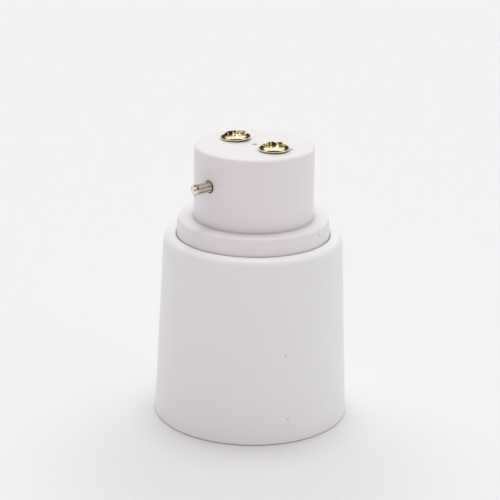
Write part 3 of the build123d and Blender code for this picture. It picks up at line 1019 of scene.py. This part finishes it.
class ADAPTER_OT_sleeve(Undoable, bpy.types.Operator):
    """Drawn sleeve with a rolled right-hand thread and three tabs on its floor"""

    bl_idname = "adapter.sleeve"
    bl_label = "Screw sleeve"

    def execute(self, context):
        settings = context.scene.adapter
        size = settings.sleeve
        sheet = size.sheet
        root = size.thread_radius
        neck = root - size.thread_depth
        floor = CROSS_BOTTOM - sheet
        neck_start = floor - size.neck
        thread_end = neck_start - size.thread_depth
        mouth = SLEEVE_LOW.z
        hub = RIVET_OFFSET - 2 * size.rivet_tab
        step = 0.2 * MM
        inner = rounded([
            (SLEEVE_HIGH.x, mouth, 0.0),
            (root, mouth, size.lip_round),
            (root, thread_end, size.neck_round),
            (neck, neck_start, size.neck_round),
            (neck, floor, size.floor_round),
            (hub, floor, 0.0),
        ], step)
        outer = rounded([
            (hub, floor + sheet, 0.0),
            (neck + sheet, floor + sheet, size.floor_round + sheet),
            (neck + sheet, neck_start, size.neck_round),
            (root + sheet, thread_end, size.neck_round),
            (root + sheet, mouth + sheet, size.lip_round - sheet),
            (SLEEVE_HIGH.x, mouth + sheet, 0.0),
        ], step)
        obj = turned("screw_sleeve_threaded", inner + outer, segments=180, closed=True)
        tree = ShapeTree("Rolled thread", {
            "Pitch": size.pitch, "Depth": size.thread_depth, "Run-out": size.run_out,
            "Opening": size.opening, "Screw tab": size.screw_tab, "Rivet tab": size.rivet_tab,
        })
        # The thread's section is a row of equal arcs, in and out by turns
        around, up = tree.polar()[1:]
        pitch = tree["Pitch"]
        depth = tree["Depth"]
        quarter = pitch / 4.0
        bow = (quarter * quarter + depth * depth / 4.0) / depth
        chord = bow - depth / 2.0
        from_crest = tree.math("PINGPONG", up / pitch - around, 0.5) * pitch
        from_arc = quarter - abs(from_crest - quarter)
        lift = tree.math("SQRT", bow * bow - from_arc * from_arc) - chord
        inward = depth / 2.0 + tree.math("SIGN", quarter - from_crest) * lift
        start = mouth + size.lip_round
        grown = tree.rise(up, start, start + tree["Run-out"])
        faded = tree.fall(up, thread_end - tree["Run-out"], thread_end)
        ring = tree.pushed_out(tree["Blank"], -(inward * grown * faded))
        # The floor is cut away between the tabs
        deep = 4 * sheet
        height = floor + sheet / 2
        screw_tab = tree["Screw tab"]
        rivet_tab = tree["Rivet tab"]
        screw_arm = neck - SCREW_OFFSET
        rivet_arm = neck - RIVET_OFFSET
        screw_ends = tree.twins(tree.rod(screw_tab, 2 * deep), x=SCREW_OFFSET)
        screw_block = tree.block(screw_arm, 2.0 * screw_tab, 2 * deep)
        screw_arms = tree.twins(screw_block, x=SCREW_OFFSET + screw_arm / 2)
        rivet_end = tree.moved(tree.rod(rivet_tab, 2 * deep), (0.0, -RIVET_OFFSET, 0.0))
        rivet_block = tree.block(2.0 * rivet_tab, rivet_arm, 2 * deep)
        rivet_root = tree.moved(rivet_block, (0.0, -RIVET_OFFSET - rivet_arm / 2, 0.0))
        opening = tree.rod(tree["Opening"], deep, 180)
        window = tree.cut(opening, screw_ends, screw_arms, rivet_end, rivet_root)
        ring = tree.cut(ring, tree.moved(window, (0.0, 0.0, height)))
        screw_holes = tree.twins(tree.rod(settings.shell.screw_hole, deep), x=SCREW_OFFSET, z=height)
        rivet_hole = tree.moved(tree.rod(settings.shell.rivet_hole, deep), (0.0, -RIVET_OFFSET, height))
        ring = tree.cut(ring, screw_holes, rivet_hole)
        skin = sheet_metal("sleeve_nickel_skin", settings.finishes.nickel, (0.1, 0.1, 1.0), dull=0.16)
        tree.shape(obj, ring, skin)
        settle(obj, "sleeve_nickel", "screw_sleeve")
        return {"FINISHED"}


class ADAPTER_OT_leaf(Undoable, bpy.types.Operator):
    """Folded spring leaf that meets the bulb's tip"""

    bl_idname = "adapter.leaf"
    bl_label = "Centre contact"

    def execute(self, context):
        settings = context.scene.adapter
        size = settings.leaf
        sheet = size.sheet
        obj = self.folded(size)
        tree = ShapeTree("Leaf hole", {"Rivet hole": settings.shell.rivet_hole})
        hole = tree.moved(tree.rod(tree["Rivet hole"], 4 * sheet), (0.0, RIVET_OFFSET, CROSS_BOTTOM))
        leaf = tree.cut(tree["Blank"], hole)
        tree.shape(obj, leaf, sheet_metal("leaf_bronze_skin", settings.finishes.bronze, (1.0, 0.1, 0.1)))
        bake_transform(obj)
        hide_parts("centre_contact")
        return {"FINISHED"}

    @staticmethod
    def folded(size):
        """The leaf without its hole: rows across a path on its upper face, with across standing for Y."""
        apex = CROSS_BOTTOM - size.drop + size.sheet
        tip_end = size.apex - size.tip_reach
        path = rounded([
            (LEAF_HIGH.y, CROSS_BOTTOM, 0.0),
            (BEND_LINE, CROSS_BOTTOM, size.bend),
            (size.apex, apex, size.bend),
            (tip_end, apex + size.tip_lift, 0.0),
        ], step=0.15 * MM)
        half_foot = LEAF_HIGH.x
        half_tip = size.tip_width / 2
        lanes = 12
        shares = [2 * lane / lanes - 1 for lane in range(lanes + 1)]
        form = bmesh.new()
        rows = []
        for index, point in enumerate(path):
            before = path[max(index - 1, 0)]
            after = path[min(index + 1, len(path) - 1)]
            along = (after - before).normalized()
            lower = point + Vector((along.y, -along.x)) * -size.sheet
            narrow = max(0.0, min(1.0, (BEND_LINE - point.x) / (BEND_LINE - tip_end)))
            half = half_foot + (half_tip - half_foot) * narrow
            from_end = min(LEAF_HIGH.y - point.x, point.x - tip_end)
            short = size.corner - max(0.0, min(size.corner, from_end))
            half -= size.corner - math.sqrt(size.corner ** 2 - short ** 2)
            above = [form.verts.new((half * share, point.x, point.y)) for share in shares]
            below = [form.verts.new((half * share, lower.x, lower.y)) for share in shares]
            rows.append(above + below[::-1])
        for first, second in zip(rows, rows[1:]):
            for index, corner in enumerate(first):
                form.faces.new((corner, first[index - 1], second[index - 1], second[index]))
        form.faces.new(rows[0])
        form.faces.new(rows[-1])
        return formed("centre_contact_leaf", form)


class ADAPTER_OT_rivets(Undoable, bpy.types.Operator):
    """Two brass rivets through the cross wall"""

    bl_idname = "adapter.rivets"
    bl_label = "Rivets"

    def execute(self, context):
        settings = context.scene.adapter
        size = settings.rivets
        radius = (RIVET_HIGH.x - RIVET_LOW.x) / 2
        slant = size.head_slant
        seat = RIVET_LOW.z + size.head
        section = rounded([
            (0.0, RIVET_LOW.z, 0.0),
            (radius - slant, RIVET_LOW.z, slant / 2),
            (radius, RIVET_LOW.z + slant, slant / 2),
            (radius, seat, 0.0),
            (size.shank, seat, 0.0),
            (size.shank, CROSS_TOP, 0.0),
            (radius, CROSS_TOP, 0.0),
            (radius, RIVET_HIGH.z - slant, slant / 2),
            (radius - slant, RIVET_HIGH.z, slant / 2),
            (0.0, RIVET_HIGH.z, 0.0),
        ], step=0.3 * MM)
        obj = turned("cross_wall_rivets", section, segments=64)
        tree = ShapeTree("Rivet pair", {"Offset": RIVET_OFFSET})
        rivets = tree.twins(tree["Blank"], y=tree["Offset"])
        tree.shape(obj, rivets, sheet_metal("rivet_brass_skin", settings.finishes.brass, (1.0, 1.0, 0.2)))
        settle(obj, "rivet_brass", "centre_contact_rivet", "sleeve_rivet")
        return {"FINISHED"}


class ADAPTER_OT_screws(Undoable, bpy.types.Operator):
    """Two self-tapping screws with a cross recess"""

    bl_idname = "adapter.screws"
    bl_label = "Base screws"

    def execute(self, context):
        settings = context.scene.adapter
        size = settings.screws
        head_radius = (SCREW_HIGH.x - SCREW_LOW.x) / 2
        seat = SCREW_LOW.z + size.head
        section = rounded([
            (0.0, SCREW_LOW.z, 0.0),
            (head_radius, SCREW_LOW.z, size.head_round),
            (head_radius, seat, 0.0),
            (size.shank, seat, 0.0),
            (size.shank, SCREW_HIGH.z - size.point, 0.0),
            (size.point_radius, SCREW_HIGH.z, 0.0),
            (0.0, SCREW_HIGH.z, 0.0),
        ], step=0.12 * MM)
        obj = turned("base_screws_threaded", section, segments=60)
        tree = ShapeTree("Screw thread and recess", {
            "Pitch": size.pitch, "Thread depth": size.thread_depth, "Recess width": size.recess_width,
            "Recess reach": size.recess_reach, "Recess depth": size.recess_depth,
        })
        across, around, up = tree.polar()
        ridge = tree.math("PINGPONG", up / tree["Pitch"] - around, 0.5) * 2.0
        on_shank = tree.rise(up, seat + size.pitch / 2, seat + size.pitch)
        valley = tree.rise(ridge, 0.15, 0.75) * on_shank * across * (1.0 / size.shank)
        screw = tree.pushed_out(tree["Blank"], -(valley * tree["Thread depth"]))
        arm = tree.block(2.0 * tree["Recess reach"], tree["Recess width"], 2.0 * tree["Recess depth"])
        recess_place = (0.0, 0.0, SCREW_LOW.z)
        first = tree.moved(arm, recess_place)
        second = tree.moved(arm, recess_place, (0.0, 0.0, math.pi / 2))
        screw = tree.cut(screw, first, second)
        # Each screw has come to rest at its own turn
        first_turn = 0.4
        next_turn = 0.7
        at_rest = tree.combine(z=tree.index() * next_turn + first_turn)
        screws = tree.twins(screw, x=SCREW_OFFSET, turn=at_rest)
        tree.shape(obj, screws, plated_steel("screw_steel_skin", settings.finishes.zinc, (1.0, 1.0, 0.3)))
        settle(obj, "screw_steel", "base_screw_left", "base_screw_right")
        return {"FINISHED"}


class ADAPTER_OT_strips(Undoable, bpy.types.Operator):
    """Finish of the two brass strips inside the base"""

    bl_idname = "adapter.strips"
    bl_label = "Strips"

    def execute(self, context):
        skin = sheet_metal("strip_brass_skin", context.scene.adapter.finishes.brass, (1.0, 1.0, 0.1))
        for name in ("live_strip", "neutral_strip"):
            frame["nodes"][name].data.materials[0] = skin
        return {"FINISHED"}


class ADAPTER_OT_stage(Undoable, bpy.types.Operator):
    """Pale floor, soft overhead light and the camera"""

    bl_idname = "adapter.stage"
    bl_label = "Stage"

    def execute(self, context):
        scene = context.scene
        settings = scene.adapter.stage
        self.lay_floor(settings)
        self.light(scene, settings)
        self.set_camera(scene, settings)
        scene.view_settings.view_transform = "Standard"
        return {"FINISHED"}

    def lay_floor(self, settings):
        """A flat floor, a little darker where the adapter shades it in front."""
        reach = settings.floor_reach
        corners = [(-reach, -reach, 0.0), (reach, -reach, 0.0), (reach, reach, 0.0), (-reach, reach, 0.0)]
        mesh = bpy.data.meshes.new("floor")
        mesh.from_pydata(corners, [], [(0, 1, 2, 3)])
        paper = SurfaceTree("floor_paper")
        away = paper.away_from(level(settings.azimuth) * 1.6 * SHELL_HIGH.x)
        tone = paper.mix(paper.rise(away, 12 * MM, 50 * MM), settings.floor_front, settings.floor)
        paper.set(base_color=tone, roughness=0.9, specular_ior_level=0.1)
        mesh.materials.append(paper.material)
        new_piece("floor", mesh)

    def light(self, scene, settings):
        """A sky that gathers overhead, brighter on one side; the camera sees a plain pale backdrop."""
        world = scene.world or bpy.data.worlds.new("studio")
        scene.world = world
        world.use_nodes = True
        sky = Tree(world.node_tree)
        toward = sky.add("ShaderNodeTexCoord", output="Generated")
        up = sky.separate(toward)[2]
        behind = -level(settings.azimuth)

        def facing(direction):
            """1 towards a direction and -1 away from it."""
            return sky.vector("DOT_PRODUCT", toward, direction, output="Value")

        glow = sky.most(up, 0.0) ** settings.gather * settings.light
        glow = glow * (1.0 + settings.side_light * facing(level(settings.side_azimuth)))
        lean = settings.softbox_lean
        spread = settings.softbox_spread
        near_box = facing(behind * math.sin(lean) + UP * math.cos(lean))
        glow = glow + settings.softbox * sky.rise(near_box, math.cos(1.2 * spread), math.cos(0.8 * spread))
        backward = facing(behind)
        low = sky.rise(up, -0.05, 0.05) * sky.fall(up, 0.3, 0.6)
        glow = glow + settings.backdrop * low * sky.rise(backward, 0.2, 0.8)
        glow = glow + settings.fill * low * sky.rise(-backward, -0.1, 0.6)
        warm = sky.rise(facing(level(settings.azimuth - settings.warm_turn)), 0.1, 0.9)
        warm = warm * sky.fall(up, 0.3, 0.8)
        seen = sky.add("ShaderNodeLightPath", output="Is Camera Ray")
        tint = sky.mix(warm * (1.0 - seen), (1.0, 1.0, 1.0), settings.warmth)
        background = world.node_tree.nodes["Background"]
        sky.feed(background.inputs["Color"], tint)
        sky.feed(background.inputs["Strength"], glow + seen * (settings.floor[0] - glow))

    def set_camera(self, scene, settings):
        """A camera that looks at the adapter's axis, with a slight pan, tilt and roll."""
        lift = settings.elevation
        back = level(settings.azimuth) * math.cos(lift) + UP * math.sin(lift)
        right = level(settings.azimuth + math.pi / 2)
        up = right.cross(-back)
        forward = (settings.pan * right + settings.tilt * up - back).normalized()
        right = forward.cross(up).normalized()
        up = right.cross(forward)
        turn = math.cos(settings.roll)
        lean = math.sin(settings.roll)
        axes = Matrix((turn * right + lean * up, turn * up - lean * right, -forward)).transposed()
        data = bpy.data.cameras.new("camera")
        data.sensor_width = 36.0
        data.lens = settings.lens
        data.clip_start = 10 * MM
        camera = bpy.data.objects.new("camera", data)
        place = UP * settings.aim + back * settings.distance
        camera.matrix_world = Matrix.Translation(place) @ axes.to_4x4()
        scene.collection.objects.link(camera)
        scene.camera = camera


class ADAPTER_PT_panel(bpy.types.Panel):
    """Lists the adapter's pieces and their sizes"""

    bl_idname = "ADAPTER_PT_panel"
    bl_label = "Lamp socket adapter"
    bl_space_type = "VIEW_3D"
    bl_region_type = "UI"
    bl_category = "Adapter"

    def draw(self, context):
        for piece in PIECES:
            self.layout.operator(f"adapter.{piece}")
        for name in AdapterSettings.__annotations__:
            group = getattr(context.scene.adapter, name)
            box = self.layout.box()
            box.label(text=name.capitalize())
            for prop in group.__annotations__:
                box.prop(group, prop)


PIECES = ("shell", "base", "pins", "contacts", "sleeve", "leaf", "rivets", "screws", "strips", "stage")
CLASSES = (
    ShellSizes, BaseSizes, PinSizes, ContactSizes, SleeveSizes, LeafSizes, RivetSizes, ScrewSizes, Finishes,
    StageSettings, AdapterSettings, ADAPTER_OT_shell, ADAPTER_OT_base, ADAPTER_OT_pins, ADAPTER_OT_contacts,
    ADAPTER_OT_sleeve, ADAPTER_OT_leaf, ADAPTER_OT_rivets, ADAPTER_OT_screws, ADAPTER_OT_strips,
    ADAPTER_OT_stage, ADAPTER_PT_panel,
)


def register():
    for cls in CLASSES:
        bpy.utils.register_class(cls)
    bpy.types.Scene.adapter = PointerProperty(type=AdapterSettings)


def unregister():
    del bpy.types.Scene.adapter
    for cls in reversed(CLASSES):
        bpy.utils.unregister_class(cls)


def main():
    register()
    for piece in PIECES:
        getattr(bpy.ops.adapter, piece)()


if __name__ == "__main__":
    main()
